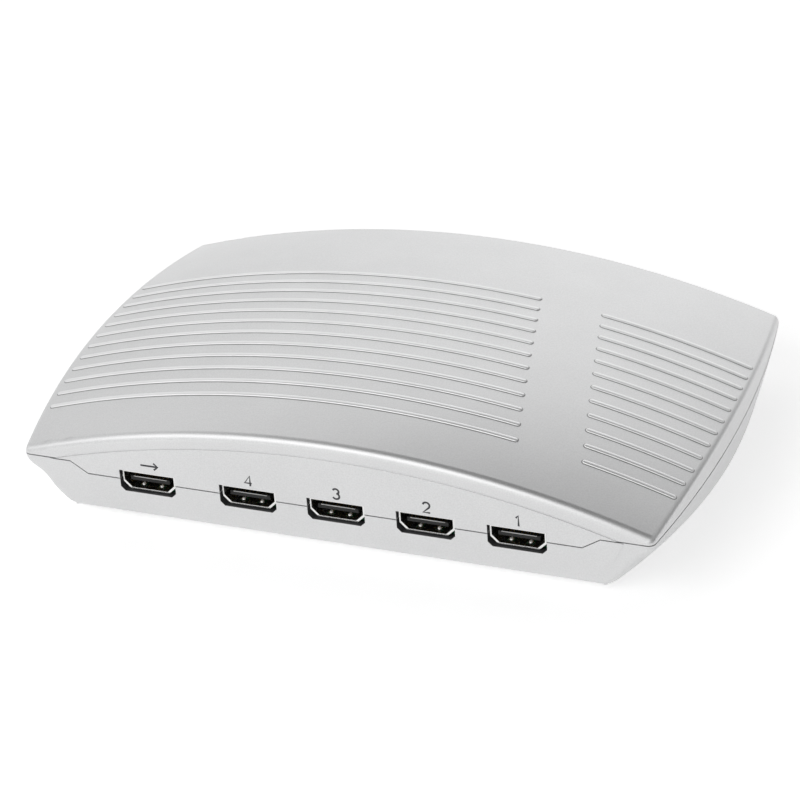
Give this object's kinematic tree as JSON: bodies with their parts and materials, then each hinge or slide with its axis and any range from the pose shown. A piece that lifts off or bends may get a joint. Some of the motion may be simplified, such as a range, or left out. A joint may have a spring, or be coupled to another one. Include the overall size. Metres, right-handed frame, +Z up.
{
  "type": "hdmi switch box",
  "caption": "Low arched box that connects a chosen HDMI input to its output, with a ribbed top, sockets along one side and a select button opposite.",
  "frame": {"origin": "on the table, under the middle of the case", "axes": "+X along the row of sockets from the output to the last input, -Y the way the sockets face, +Y the way the select button faces, +Z up"},
  "size_m": [0.1806, 0.1168, 0.0372],
  "materials": {
    "upper_case": "silver-grey painted moulding, satin, with a very fine even grain",
    "lower_case": "silver-grey painted moulding, satin, with a very fine even grain",
    "foot_rubber": "plain black rubber",
    "screw_steel": "zinc-plated steel",
    "board": "green solder mask on glass-fibre board",
    "socket_steel": "bright nickel-plated sheet metal",
    "socket_black": "black moulded insulator",
    "contact_gold": "gold-plated contacts",
    "button": "dark grey moulded button",
    "switch_body": "black moulded switch body",
    "switch_plunger": "ivory moulded plunger",
    "tinned_metal": "tinned terminals",
    "blue_lens": "tinted lamp lens",
    "red_lens": "tinted lamp lens",
    "holder_black": "black moulded lamp holder",
    "ir_window": "deep red polished filter, nearly black",
    "chip_black": "moulded epoxy",
    "jack_black": "black moulded jack",
    "can_metal": "drawn metal can",
    "ceramic_brown": "fired ceramic with tinned ends"
  },
  "bodies": {
    "case": {"upper_shell": "upper_case", "lower_shell": "lower_case", "rubber_feet": "foot_rubber", "case_screws": "screw_steel", "board_screws": "screw_steel", "circuit_board": "board", "tact_switch_body": "switch_body", "tact_switch_legs": "tinned_metal", "channel_leds": "blue_lens", "power_led": "red_lens", "led_holders": "holder_black", "led_legs": "tinned_metal", "ir_window": "ir_window", "ir_receiver": "chip_black", "ir_receiver_legs": "tinned_metal", "dc_jack_housing": "jack_black", "dc_jack_pin": "tinned_metal", "dc_jack_spring": "tinned_metal", "switch_chip": "chip_black", "switch_chip_pins": "tinned_metal", "control_chip": "chip_black", "control_chip_pins": "tinned_metal", "memory_chips": "chip_black", "memory_chip_pins": "tinned_metal", "voltage_regulator": "chip_black", "voltage_regulator_pins": "tinned_metal", "crystal": "can_metal", "electrolytic_capacitors": "can_metal", "ceramic_capacitors": "ceramic_brown", "resistors": "chip_black", "socket_out_shell": "socket_steel", "socket_out_insulator": "socket_black", "socket_out_contacts": "contact_gold", "socket_in4_shell": "socket_steel", "socket_in4_insulator": "socket_black", "socket_in4_contacts": "contact_gold", "socket_in3_shell": "socket_steel", "socket_in3_insulator": "socket_black", "socket_in3_contacts": "contact_gold", "socket_in2_shell": "socket_steel", "socket_in2_insulator": "socket_black", "socket_in2_contacts": "contact_gold", "socket_in1_shell": "socket_steel", "socket_in1_insulator": "socket_black", "socket_in1_contacts": "contact_gold"},
    "button": {"select_button": "button"},
    "plunger": {"tact_switch_plunger": "switch_plunger"}
  },
  "joints": [
    {"name": "button_press", "type": "slide", "parent": "case", "child": "button", "axis": [0, -1, 0], "range_m": [0, 0.0003], "stiffness_N_per_m": 5000},
    {"name": "plunger_press", "type": "slide", "parent": "case", "child": "plunger", "axis": [0, -1, 0], "range_m": [0, 0.0003], "stiffness_N_per_m": 50}
  ],
  "couplings": [
    {"joint": "plunger_press", "follows": "button_press", "ratio": 1}
  ]
}
